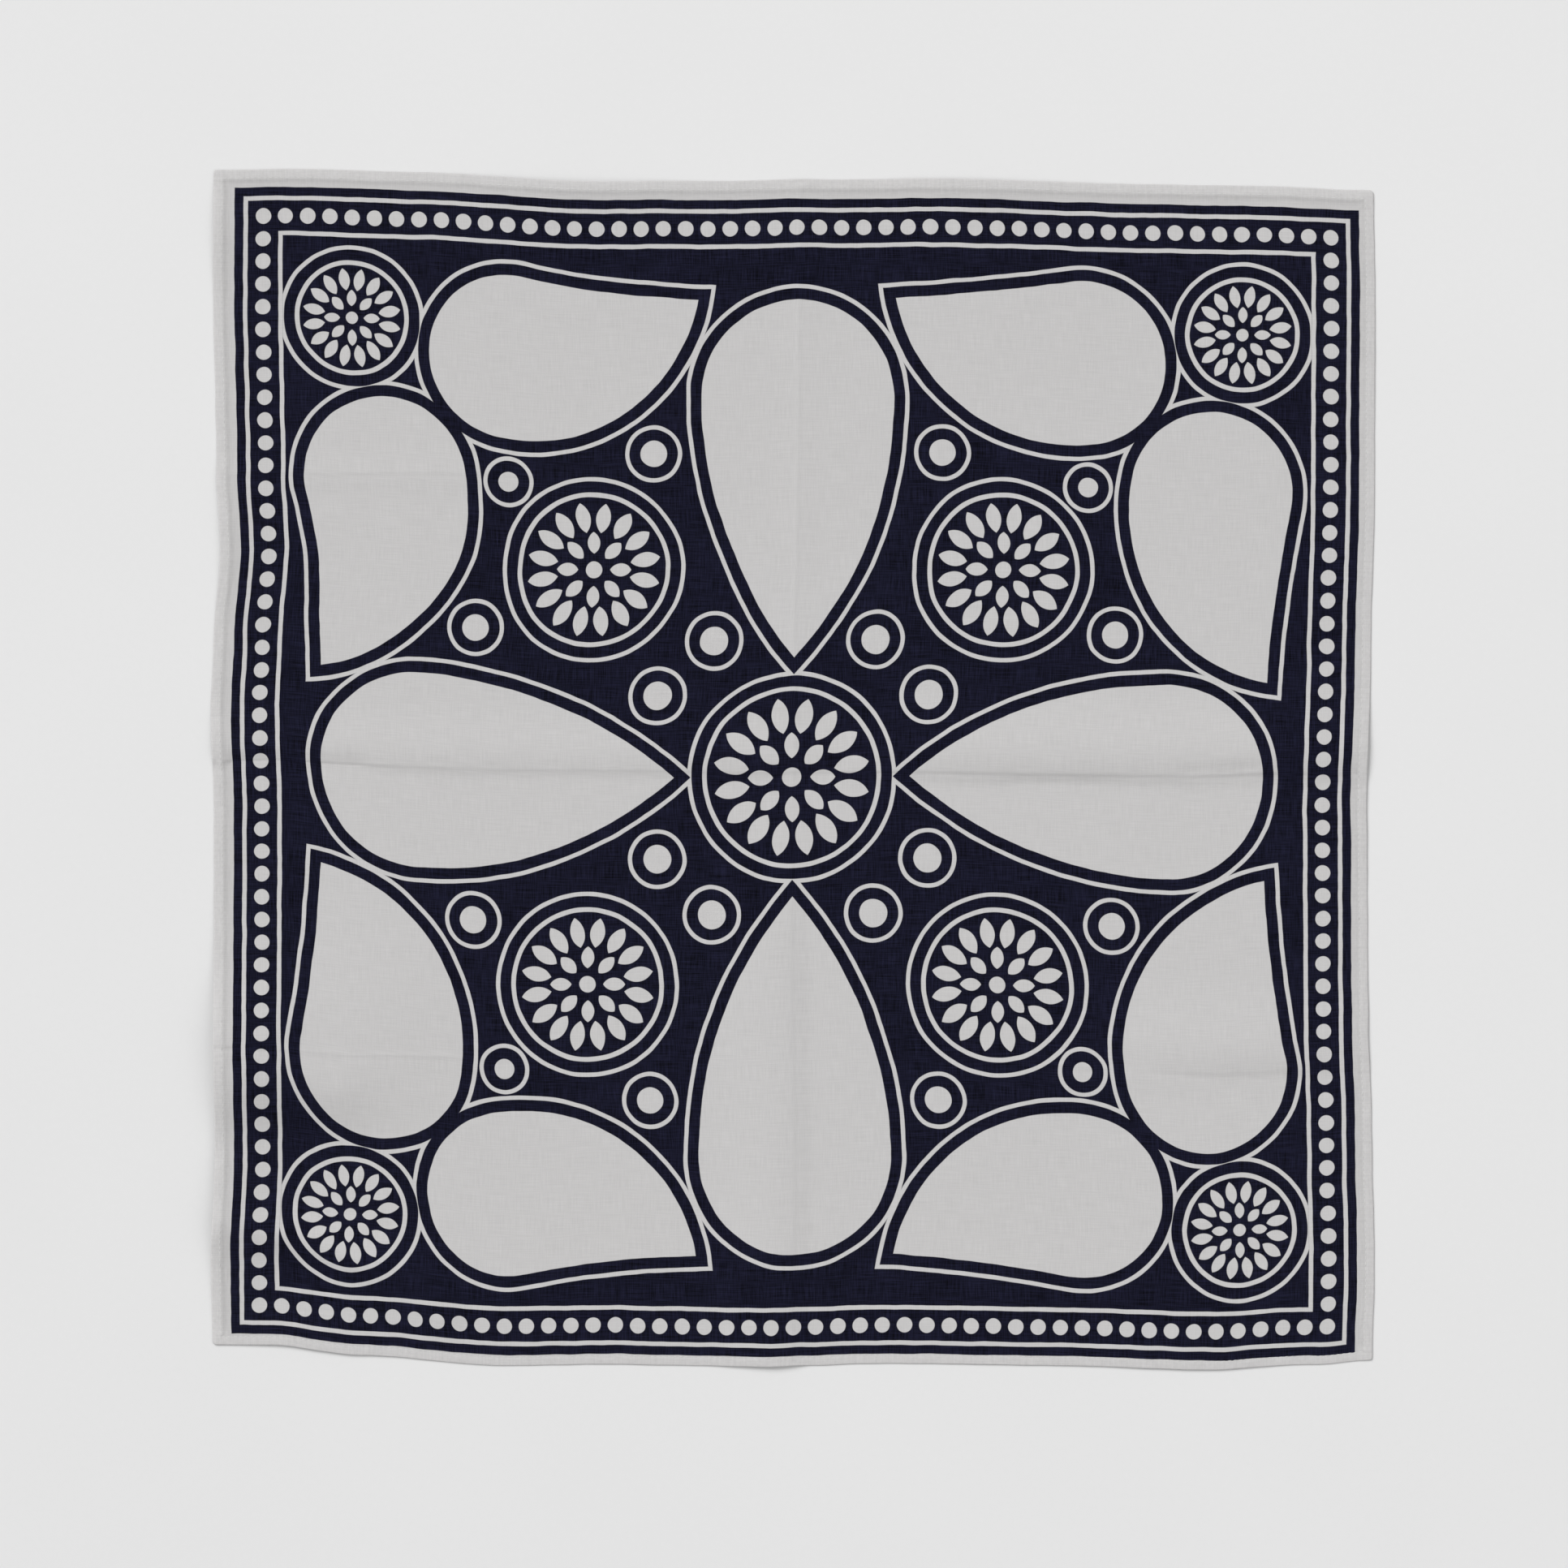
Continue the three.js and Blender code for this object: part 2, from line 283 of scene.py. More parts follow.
# %% The creases and the marks, in millimetres
# step: how far the side above or right of the crease is higher; ridge: how far both stand up at it.
CREASES = [
    {"fold": "middle across", "step": 0.16, "ridge": 0.0, "half_width": 1.3, "from": -0.1, "to": 1.1},
    {"fold": "middle across", "step": 0.40, "ridge": 0.0, "half_width": 1.5, "from": -0.02, "to": 0.17},
    {"fold": "middle across", "step": 0.14, "ridge": -0.08, "half_width": 1.5, "from": 0.5, "to": 0.85},
    {"fold": "middle across", "step": 0.42, "ridge": 0.0, "half_width": 2.1, "from": 0.83, "to": 0.96},
    {"fold": "middle down", "step": -0.05, "ridge": 0.14, "half_width": 1.4, "from": 0.47, "to": 1.1},
    {"fold": "middle down", "step": -0.12, "ridge": 0.0, "half_width": 1.8, "from": -0.1, "to": 0.52},
    {"fold": "lower quarter", "step": 0.17, "ridge": 0.08, "half_width": 1.4, "from": -0.1, "to": 0.24},
    {"fold": "lower quarter", "step": 0.05, "ridge": 0.05, "half_width": 1.2, "from": 0.19, "to": 0.42},
    {"fold": "lower quarter", "step": 0.10, "ridge": 0.0, "half_width": 1.4, "from": 0.60, "to": 1.1},
    {"fold": "upper quarter", "step": 0.14, "ridge": 0.0, "half_width": 1.5, "from": -0.1, "to": 0.40},
]
CREASE_FADE = 0.05
CREASE_UNEVEN = {"share": 0.45, "size": 9.0}
CREASE_LOST_IN_HEM = 0.6
# Creases and marks are bell curves, which end at this many half widths.
BELL_END = 3

# Lines through places in the cloth: soft troughs, or ridges where the depth is under zero.
MARKS = [
    # pinches where the folds cross the hem
    {"line": [(1.8, 267.2), (4.2, 266.9)], "half_width": 0.9, "depth": 0.30},
    {"line": [(-262.7, -0.7), (-262.8, -3.7)], "half_width": 0.9, "depth": 0.30},
    {"line": [(256.6, 2.4), (260.0, 0.2)], "half_width": 1.0, "depth": 0.26},
    {"line": [(0.2, -266.2), (1.8, -266.6)], "half_width": 0.9, "depth": 0.20},
    {"line": [(-263.5, -132.6), (-253, -133.2)], "half_width": 1.2, "depth": 0.30},
    # soft pulls beside the middle fold
    {"line": [(-254, -1.8), (-234, -1.6)], "half_width": 3.4, "depth": 0.95},
    {"line": [(-226, -1.4), (-197, -1.2)], "half_width": 3.6, "depth": 0.75},
    {"line": [(184, 3.0), (209, 3.0)], "half_width": 3.4, "depth": 0.55},
    {"line": [(212, 3.4), (238, 3.0)], "half_width": 3.8, "depth": 0.30},
    {"line": [(104, -7.6), (150, -6.8)], "half_width": 4.5, "depth": 0.85},
    # a crinkle in the lower right quarter
    {"line": [(139, -131), (148, -143), (158, -158)], "half_width": 3.0, "depth": 0.23},
    {"line": [(126, -138), (143, -134)], "half_width": 3.0, "depth": 0.16},
    # the soft ridges that run in from the lifted edge
    {"line": [(-246, -148), (-210, -150)], "half_width": 12, "depth": -1.5},
    {"line": [(-262, -215), (-230, -216), (-200, -224), (-160, -246)], "half_width": 10, "depth": -2.0},
    {"line": [(-236, -219), (-206, -222), (-190, -227)], "half_width": 6, "depth": -1.1},
]
UNEVEN = [{"size": 85, "reach": 0.28, "layer": 3.0}, {"size": 34, "reach": 0.10, "layer": 7.0}]
# The share of its reach by which the noise is raised, so that the table cuts off few of its hollows.
UNEVEN_RAISED = 0.5


def crease_height(row, across, up):
    aside, along = from_fold(FOLDS[row["fold"]], across, up)
    away = aside / row["half_width"]
    if abs(away) > BELL_END:
        return 0.0
    ends = smooth(along, row["from"], row["from"] + CREASE_FADE)
    ends *= 1 - smooth(along, row["to"] - CREASE_FADE, row["to"])
    uneven = 1 + CREASE_UNEVEN["share"] * rough(along * WIDTH, 0, CREASE_UNEVEN["size"], row["step"])
    return ends * uneven * (row["ridge"] + row["step"] * away) * math.exp(-away * away)


def from_line(places, x, y):
    """How far a place is from a line through other places."""
    spot = Vector((x, y))
    gaps = []
    for start, end in zip(map(Vector, places), map(Vector, places[1:])):
        share = clamp((spot - start).dot(end - start) / (end - start).length_squared)
        gaps.append((spot - start.lerp(end, share)).length)
    return min(gaps)


def mark_depth(row, x, y):
    away = from_line(row["line"], x, y) / row["half_width"]
    return row["depth"] * math.exp(-away * away) if away < BELL_END else 0.0


def fine_relief(across, up, in_hem):
    x, y = (across - 0.5) * WIDTH, (up - 0.5) * HEIGHT
    uneven = sum(row["reach"] * (rough(x, y, row["size"], row["layer"]) + UNEVEN_RAISED) for row in UNEVEN)
    creases = sum(crease_height(row, across, up) for row in CREASES)
    marks = sum(mark_depth(row, x, y) for row in MARKS)
    return uneven + creases * (1 - CREASE_LOST_IN_HEM * in_hem) - marks


print("creases:", len(CREASES), "marks:", len(MARKS))

# %% [markdown]
# ## The hem
#
# The edge is turned twice and stitched, so three layers make it over half a millimetre thick where it
# is stitched. From there it thins towards its round outer edge, which was pressed. The stitches draw a
# shallow groove beside the turned edge and pucker the cloth on both sides of it. Inside the groove the
# single cloth comes down to the table in a soft step.

# %% The hem's section, in millimetres
CLOTH_THICKNESS = 0.3
HEM = {"width": 4.3, "thickness": 0.62, "edge_radius": 0.4, "corner_extra": 0.12}
HEM_UNEVEN = {"reach": 0.22, "size": 16.0, "layer": 11.0}
HEM_CROWN = 0.8
# At the very edge: the share of the thickness that is gone, and how much of that the face has lost.
EDGE_LOSS = {"share": 0.72, "from_face": 0.85}
# The step down to single cloth starts a little before the turned edge.
HEM_STEP = {"before": 0.1, "run": 2.2, "left_over": 0.04, "settles_in": 8.0}
STITCH_LINE = {"inset": 3.9, "groove": 0.05, "half_width": 0.5}
PUCKER = {"reach": 0.17, "along": 3.0, "spread": 2.4, "ends": 9.6, "layer": 20.0}
CORNER_RADIUS = 1.6


def insets(across, up):
    """How far in a place is from the nearer side, and from the nearer end, of the cloth."""
    return min(across, 1 - across) * WIDTH, min(up, 1 - up) * HEIGHT


def edge_roundness(inset):
    """1 over the flat of the hem, and towards 0 where its outer edge rounds off."""
    part = clamp(inset / HEM["edge_radius"])
    return math.sqrt(1 - (1 - part) ** 2)


def turned_in(inset, across, up):
    """1 over the turned hem, 0 over single cloth."""
    uneven = rough(across * WIDTH, up * HEIGHT, HEM_UNEVEN["size"], HEM_UNEVEN["layer"])
    turned_edge = HEM["width"] + HEM_UNEVEN["reach"] * uneven
    return 1 - smooth(inset, turned_edge - HEM_STEP["before"], turned_edge + HEM_STEP["run"])


def hem_section(across, up):
    """The thickness of the cloth, and how far its face stands over the face of flat single cloth."""
    from_side, from_end = insets(across, up)
    inset = min(from_side, from_end)
    in_hem = turned_in(inset, across, up)
    in_corner = HEM["corner_extra"] * turned_in(max(from_side, from_end), across, up)
    crown = 1 - HEM_CROWN * (1 - clamp(inset / HEM["width"])) ** 2
    extra = (HEM["thickness"] - CLOTH_THICKNESS) * in_hem * crown + in_corner
    settling = clamp(1 - (inset - HEM["width"]) / HEM_STEP["settles_in"]) ** 2
    thick = CLOTH_THICKNESS + extra
    lost = EDGE_LOSS["share"] * (1 - edge_roundness(inset)) * thick
    over = extra + HEM_STEP["left_over"] * settling * (1 - in_hem) - EDGE_LOSS["from_face"] * lost
    return thick - lost, over


def stitch_groove(across, up):
    """How deep the stitch line is at a place, and how far the cloth puckers there."""
    from_side, from_end = insets(across, up)
    inset = min(from_side, from_end)
    if max(from_side, from_end) < STITCH_LINE["inset"] or inset > PUCKER["ends"]:
        return 0.0, 0.0
    away = inset - STITCH_LINE["inset"]
    groove = STITCH_LINE["groove"] * math.exp(-((away / STITCH_LINE["half_width"]) ** 2))
    along = up * HEIGHT if from_side < from_end else across * WIDTH
    layer = PUCKER["layer"] + (across > 0.5) + 2 * (up > 0.5) + 4 * (from_side < from_end)
    pucker = PUCKER["reach"] * rough(along, away / 2, PUCKER["along"], layer)
    return groove, pucker * math.exp(-((away / PUCKER["spread"]) ** 2))


@functools.cache
def cloth_levels(across, up):
    """The heights of the underside and of the face above the table."""
    thickness, over = hem_section(across, up)
    groove, pucker = stitch_groove(across, up)
    in_hem = turned_in(min(insets(across, up)), across, up)
    relief = broad_relief(across, up) + fine_relief(across, up, in_hem) + pucker
    face = max(relief + CLOTH_THICKNESS + over - groove, thickness)
    return face - thickness + 2 * groove, face


print("heights at the middle, in mm:", [round(level, 2) for level in cloth_levels(0.5, 0.5)])

# %% [markdown]
# ## The sheet
#
# The sheet starts as a flat grid, is extruded once to give it a face and an underside, and is then
# laid: each point knows its share of the way across and up the cloth, and the formulas above say
# where that place lies. The grid's lines are close together at the hem and at the folds, where the
# cloth bends sharply, and far apart in between. They lean with the folds, so that a crease always
# has a line of points in it.

# %% Where the grid's lines are
HEM_LINES = [0, 0.1, 0.2, 0.4, 0.8, 1.6, 2.4, 3.1, 3.5, 3.9, 4.3, 4.7, 5.2, 5.7, 6.2, 7, 8.5, 10.5, 13.5, 17]
CREASE_LINES = [0, 0.35, 0.8, 1.4, 2.2, 3.4, 5.2, 7.6, 10.6]
WIDEST_STEP = 3.65
LEAN_REACH = 60


def fold_middle(fold):
    return follow(fold["path"], 0.5)


def grid_lines(size, runs):
    """The places of the lines from one edge of the cloth to the other, with its middle at 0."""
    stops = {side * (size / 2 - inset) for inset in HEM_LINES for side in (-1, 1)}
    for fold in FOLDS.values():
        if fold["runs"] == runs:
            stops |= {fold_middle(fold) + side * inset for inset in CREASE_LINES for side in (-1, 1)}
    stops = sorted(stops)
    lines = [stops[0]]
    for start, end in zip(stops, stops[1:]):
        steps = math.ceil((end - start) / WIDEST_STEP)
        lines += [start + (end - start) * step / steps for step in range(1, steps + 1)]
    return lines


def lean(line, along, runs):
    """How far a line has moved aside at that share of its length, to go with the fold beside it."""
    folds = [fold for fold in FOLDS.values() if fold["runs"] == runs]
    pulls = [clamp(1 - abs(line - fold_middle(fold)) / LEAN_REACH) for fold in folds]
    return sum((follow(fold["path"], along) - fold_middle(fold)) * pull for fold, pull in zip(folds, pulls))


COLUMNS = grid_lines(WIDTH, "down")
ROWS = grid_lines(HEIGHT, "across")
print("grid lines:", len(COLUMNS), "by", len(ROWS))

# %% [markdown]
# Both shares are kept on the points as numbers of their own, so they survive the extrusion, and the
# face, the underside and the rim between them can be told apart afterwards. A rounded corner is a
# square one whose points are drawn in to a quarter of a circle.

# %% Laying the sheet
def round_corner(across, up):
    """The shares of a place near a corner, once the corner is rounded off."""
    from_side, from_end = insets(across, up)
    if from_side >= CORNER_RADIUS or from_end >= CORNER_RADIUS:
        return across, up
    side, end = 1 - from_side / CORNER_RADIUS, 1 - from_end / CORNER_RADIUS
    from_side = CORNER_RADIUS * (1 - side * math.sqrt(1 - end * end / 2))
    from_end = CORNER_RADIUS * (1 - end * math.sqrt(1 - side * side / 2))
    across = from_side / WIDTH if across < 0.5 else 1 - from_side / WIDTH
    up = from_end / HEIGHT if up < 0.5 else 1 - from_end / HEIGHT
    return across, up


OUTLINE_STEPS = 200


def outline_shift():
    """What moves the outline's box onto the middle of the solid cloth's box."""
    steps = [step / OUTLINE_STEPS for step in range(OUTLINE_STEPS + 1)]
    outline = [plan(side, step) for side in (0, 1) for step in steps]
    outline += [plan(step, end) for end in (0, 1) for step in steps]
    low = Vector((min(place.x for place in outline), min(place.y for place in outline)))
    high = Vector((max(place.x for place in outline), max(place.y for place in outline)))
    return cloth_middle.xy / MM - (low + high) / 2


SHIFT = outline_shift()


def cloth_place(across, up, level):
    """The place in space of a place in the cloth, in metres."""
    spot = plan(*round_corner(across, up)) + SHIFT
    return Vector((spot.x, spot.y, level)) * MM


def lay_sheet():
    bm = bmesh.new()
    columns, rows = len(COLUMNS) - 1, len(ROWS) - 1
    bmesh.ops.create_grid(bm, x_segments=columns, y_segments=rows, size=0.5)
    share_across = bm.verts.layers.float.new("across")
    share_up = bm.verts.layers.float.new("up")
    in_face = bm.verts.layers.int.new("in_face")
    for vert in bm.verts:
        column = COLUMNS[round((vert.co.x + 0.5) * columns)]
        row = ROWS[round((vert.co.y + 0.5) * rows)]
        vert[share_across] = (column + lean(column, row / HEIGHT + 0.5, "down")) / WIDTH + 0.5
        vert[share_up] = (row + lean(row, column / WIDTH + 0.5, "across")) / HEIGHT + 0.5
    raised = bmesh.ops.extrude_face_region(bm, geom=bm.faces[:])["geom"]
    for part in raised:
        if isinstance(part, bmesh.types.BMVert):
            part[in_face] = 1
    for vert in bm.verts:
        across, up = clamp(vert[share_across]), clamp(vert[share_up])
        vert.co = cloth_place(across, up, cloth_levels(across, up)[vert[in_face]])
    bmesh.ops.recalc_face_normals(bm, faces=bm.faces[:])
    add_maps(bm, share_across, share_up, in_face)
    return bm


# %% [markdown]
# ## Two maps
#
# A map says where each point of the mesh is on a flat picture. The first, `cloth_plane`, holds the
# places that the cloth had on the cutting table, so a print on it bends with the folds as real ink
# does. The second is for whoever bakes the materials into pictures: most of the square goes to the
# printed face, and a corner of it to the plain underside.

# %% The maps
FACE_ISLAND = {"corner": Vector((0.004, 0.004)), "side": 0.746}
BACK_ISLAND = {"corner": Vector((0.758, 0.758)), "side": 0.238}
# The lower points of the rim lie just outside the face's part of the picture.
RIM_SPREAD = 1.008
HALF = Vector((0.5, 0.5))


def add_maps(bm, share_across, share_up, in_face):
    bake_map = bm.loops.layers.uv.new("OFBake")
    cloth_plane = bm.loops.layers.uv.new("cloth_plane")
    for face in bm.faces:
        face.smooth = True
        on_back = not any(vert[in_face] for vert in face.verts)
        island = BACK_ISLAND if on_back else FACE_ISLAND
        face.material_index = int(on_back)
        for loop in face.loops:
            share = Vector((loop.vert[share_across], loop.vert[share_up])) - HALF
            loop[cloth_plane].uv = share * Vector((WIDTH, HEIGHT)) * MM
            if not on_back and not loop.vert[in_face]:
                share *= RIM_SPREAD
            loop[bake_map].uv = island["corner"] + (share + HALF) * island["side"]


def piece_from(bm, name):
    mesh = bpy.data.meshes.new(name)
    bm.to_mesh(mesh)
    bm.free()
    piece = bpy.data.objects.new(name, mesh)
    bpy.context.scene.collection.objects.link(piece)
    triangles = sum(len(face.vertices) - 2 for face in mesh.polygons)
    print(name, "has", triangles, "triangles")
    return piece


sheet = piece_from(lay_sheet(), "printed_sheet")

# %% [markdown]
# ## The stitches
#
# A lockstitch shows on both sides as a row of short stitches that dip into the cloth at each end.
# Each is a small sphere, stretched along the line, with few faces because there are sixteen hundred
# of them. They are made in one mesh, and each is laid in the groove by the formulas that laid the
# cloth, so it follows every rise of the hem.

# %% The stitches, in millimetres
STITCH = {"pitch": 2.6, "long": 2.1, "wide": 0.40, "high": 0.24, "sunk": 0.02}
STITCH_FACES = {"u_segments": 6, "v_segments": 5}


def stitch_spots():
    """The places of the stitches in the cloth, and the steps to either end of each."""
    for runs, length, other in (("across", WIDTH, HEIGHT), ("up", HEIGHT, WIDTH)):
        run = length - 2 * STITCH_LINE["inset"]
        count = math.floor(run / STITCH["pitch"])
        half = STITCH["long"] / 2 / length
        inset = STITCH_LINE["inset"] / other
        for number in range(count):
            along = (STITCH_LINE["inset"] + run * (number + 0.5) / count) / length
            for aside in (inset, 1 - inset):
                yield (along, aside, half, 0) if runs == "across" else (aside, along, 0, half)


def stitch_matrix(across, up, step_across, step_up, side):
    """What turns a ball into one stitch, on the face where side is 1 or the underside where it is 0."""
    sunk = -STITCH["sunk"] if side else STITCH["sunk"]
    ends = []
    for way in (-1, 1):
        place = (across + way * step_across, up + way * step_up)
        ends.append(cloth_place(*place, cloth_levels(*place)[side] + sunk))
    run = (ends[1] - ends[0]) / 2
    sideways = Vector((0, 0, 1)).cross(run).normalized() * STITCH["wide"] / 2 * MM
    upward = run.cross(sideways).normalized() * STITCH["high"] / 2 * MM
    matrix = Matrix((run, sideways, upward)).transposed().to_4x4()
    matrix.translation = (ends[0] + ends[1]) / 2
    return matrix


def make_stitches():
    ball = bmesh.new()
    bmesh.ops.create_uvsphere(ball, **STITCH_FACES, radius=1)
    one_stitch = bpy.data.meshes.new("one_stitch")
    ball.to_mesh(one_stitch)
    ball.free()
    bm = bmesh.new()
    for spot in stitch_spots():
        for side in (0, 1):
            laid = one_stitch.copy()
            laid.transform(stitch_matrix(*spot, side))
            bm.from_mesh(laid)
            bpy.data.meshes.remove(laid)
    bpy.data.meshes.remove(one_stitch)
    for face in bm.faces:
        face.smooth = True
    return bm


stitches = piece_from(make_stitches(), "hem_stitches")

# %% [markdown]
# ## Arithmetic with shader nodes
#
# A print or a weave is drawn by sums on a place in the cloth, and a sum of twenty Math nodes is hard
# to read. `Number` holds the output of a node, and each sign used on it adds one Math node, so the
# sums below read as they would on paper. `Place` does the same for a vector.

# %% Numbers and places
class Number:
    """A number that comes out of a node. Sums on it make more nodes."""

    def __init__(self, tree, socket):
        self.tree = tree
        self.socket = socket

    def sum(self, operation, *others):
        node = self.tree.nodes.new("ShaderNodeMath")
        node.operation = operation
        for inlet, value in zip(node.inputs, (self, *others)):
            feed(self.tree, inlet, value)
        return Number(self.tree, node.outputs[0])

    def __add__(self, other):
        return self.sum("ADD", other)

    def __sub__(self, other):
        return self.sum("SUBTRACT", other)

    def __rsub__(self, other):
        return self.sum("MULTIPLY_ADD", -1.0, other)

    def __mul__(self, other):
        return self.sum("MULTIPLY", other)

    def __truediv__(self, other):
        return self.sum("DIVIDE", other)

    def __abs__(self):
        return self.sum("ABSOLUTE")

    def least(self, other):
        return self.sum("MINIMUM", other)

    def most(self, other):
        return self.sum("MAXIMUM", other)

    def under(self, other):
        return self.sum("LESS_THAN", other)

    def clamped(self):
        node = self.tree.nodes.new("ShaderNodeClamp")
        feed(self.tree, node.inputs["Value"], self)
        return Number(self.tree, node.outputs[0])


class Place:
    """A place that comes out of a node."""

    def __init__(self, tree, socket):
        self.tree = tree
        self.socket = socket

    def sum(self, operation, other):
        node = self.tree.nodes.new("ShaderNodeVectorMath")
        node.operation = operation
        feed(self.tree, node.inputs[0], self)
        feed(self.tree, node.inputs[1], other)
        return node

    def moved(self, by):
        return Place(self.tree, self.sum("ADD", by).outputs["Vector"])

    def times(self, factors):
        return Place(self.tree, self.sum("MULTIPLY", factors).outputs["Vector"])

    def distance_to(self, spot):
        return Number(self.tree, self.sum("DISTANCE", spot).outputs["Value"])

    def turned(self, spot, degrees):
        """The place as it is seen from a spot, by someone who has turned by that angle."""
        node = self.tree.nodes.new("ShaderNodeMapping")
        node.vector_type = "TEXTURE"
        feed(self.tree, node.inputs["Vector"], self)
        node.inputs["Location"].default_value = spot
        node.inputs["Rotation"].default_value = (0, 0, math.radians(degrees))
        return Place(self.tree, node.outputs["Vector"])

    def parts(self):
        node = self.tree.nodes.new("ShaderNodeSeparateXYZ")
        feed(self.tree, node.inputs[0], self)
        return Number(self.tree, node.outputs["X"]), Number(self.tree, node.outputs["Y"])


def feed(tree, inlet, value):
    """Links a number or a place to an inlet, or sets the inlet to a plain value."""
    if isinstance(value, (Number, Place)):
        tree.links.new(value.socket, inlet)
    else:
        inlet.default_value = value


def place_from(x, y):
    node = x.tree.nodes.new("ShaderNodeCombineXYZ")
    feed(x.tree, node.inputs["X"], x)
    feed(x.tree, node.inputs["Y"], y)
    return Place(x.tree, node.outputs["Vector"])


def choose(second, first_value, second_value):
    """The first value, or the second where the number second is 1."""
    tree = second.tree
    node = tree.nodes.new("ShaderNodeMix")
    feed(tree, node.inputs[0], second)
    if isinstance(second_value, Place):
        node.data_type = "VECTOR"
        feed(tree, node.inputs[4], first_value)
        feed(tree, node.inputs[5], second_value)
        return Place(tree, node.outputs[1])
    feed(tree, node.inputs[2], first_value)
    feed(tree, node.inputs[3], second_value)
    return Number(tree, node.outputs[0])


def least_of(numbers):
    """The least of many distances is the distance to all of their shapes at once."""
    return functools.reduce(Number.least, numbers)


def noise_node(place, size, detail=2.0):
    """A node of soft noise, whose patches are about as wide as the size."""
    node = place.tree.nodes.new("ShaderNodeTexNoise")
    feed(place.tree, node.inputs["Vector"], place)
    node.inputs["Scale"].default_value = 1 / size
    node.inputs["Detail"].default_value = detail
    return node


def cloud(place, size, detail=2.0):
    """Soft noise about 0, between half under it and half over it."""
    return Number(place.tree, noise_node(place, size, detail).outputs["Fac"]) - 0.5


def unsteady(place, size, reach, detail=2.0):
    """The place, moved about a little by soft noise, so that what is drawn there isn't dead true."""
    noises = Place(place.tree, noise_node(place, size, detail).outputs["Color"])
    return place.moved(noises.moved((-0.5, -0.5, -0.5)).times((reach, reach, 0)))


# %% [markdown]
# A shader node group is a small machine with named inlets and outlets. It is built once, and each
# material that needs it places it and sets its own values.

# %% Making and using node groups
def new_group(name, inlets, outlets):
    """A group with inlets and outlets, each a pair of its name and VECTOR or FLOAT."""
    group = bpy.data.node_groups.new(name, "ShaderNodeTree")
    kinds = {"VECTOR": "NodeSocketVector", "FLOAT": "NodeSocketFloat"}
    for socket_name, kind in inlets:
        group.interface.new_socket(socket_name, in_out="INPUT", socket_type=kinds[kind])
    for socket_name, kind in outlets:
        group.interface.new_socket(socket_name, in_out="OUTPUT", socket_type=kinds[kind])
    way_in = group.nodes.new("NodeGroupInput")
    way_out = group.nodes.new("NodeGroupOutput")
    shapes = {"VECTOR": Place, "FLOAT": Number}
    given = [shapes[kind](group, way_in.outputs[socket_name]) for socket_name, kind in inlets]
    return group, given, way_out


def use_group(group, **values):
    """Adds a group to the tree of the first value that comes from a node, and returns its node."""
    tree = next(value.tree for value in values.values() if isinstance(value, (Number, Place)))
    node = tree.nodes.new("ShaderNodeGroup")
    node.node_tree = group
    for name, value in values.items():
        feed(tree, node.inputs[name], value)
    return node


# %% [markdown]
# ## The print: paisleys and drops
#
# Each motif is a distance: how far a place lies outside the motif's outline, and less than nothing
# inside it. Where the distance is below zero the cloth stays pale. A distance also gives the line
# that echoes round a shape for nothing, because that is where the distance has a certain value.
#
# A paisley is drawn as a draughtsman would, with three circles. The head is a whole circle. The back
# of the tail is a wide arc that leaves the head without a corner, and so is the hollow side, on a
# circle that lies outside the shape. They cross at the tip. The two wide circles follow from where
# the tip is. A drop is simpler: half of a circle, and half of a lens between two wide arcs.

# %% Paisleys and drops, in millimetres
PAISLEY = {"head_at": (189, 131, 0), "heading": -100, "head": 37, "tip": (-42, 80)}
DROP = {"head_at": (172, 0, 0), "heading": 180, "head": 44, "tail": 118}


def tail_bends(head, tip_across, tip_along):
    """The radii of the tail's back and of its hollow side, which meet at the tip."""
    back = ((tip_across - head) ** 2 + tip_along**2) / (2 * (head - tip_across))
    hollow = -((tip_across + head) ** 2 + tip_along**2) / (2 * (tip_across + head))
    return back, hollow


def paisley_distance(place):
    head = PAISLEY["head"]
    back, hollow = tail_bends(head, *PAISLEY["tip"])
    local = place.turned(PAISLEY["head_at"], PAISLEY["heading"] - 90)
    outside_back = local.distance_to((head - back, 0, 0)) - back
    outside_hollow = hollow - local.distance_to((-head - hollow, 0, 0))
    outside_head = local.distance_to((0, 0, 0)) - head
    along = local.parts()[1]
    return choose(along.under(0.0), outside_back.most(outside_hollow), outside_head)


def lens_distance(place, half_length, half_width):
    """How far a place is outside a lens that lies along x, with its middle at nothing."""
    along, aside = place.parts()
    bend = (half_length**2 + half_width**2) / (2 * half_width)
    return place_from(along, abs(aside)).distance_to((0, half_width - bend, 0)) - bend


def drop_distance(place):
    local = place.turned(DROP["head_at"], DROP["heading"])
    outside_tail = lens_distance(local, DROP["tail"], DROP["head"])
    outside_head = local.distance_to((0, 0, 0)) - DROP["head"]
    return choose(local.parts()[0].under(0.0), outside_tail, outside_head)


# %% [markdown]
# ## The print: daisies
#
# A daisy is one petal, repeated by folding the circle: Ping-Pong turns the angle back and forth
# between nothing and half a petal's share, so that every place lands on the one petal that is drawn.
# A petal is a lens. There are two rings of petals, an eye, and a ring about them. Only the daisy that
# is nearest to a place is drawn there, so one set of nodes serves them all.

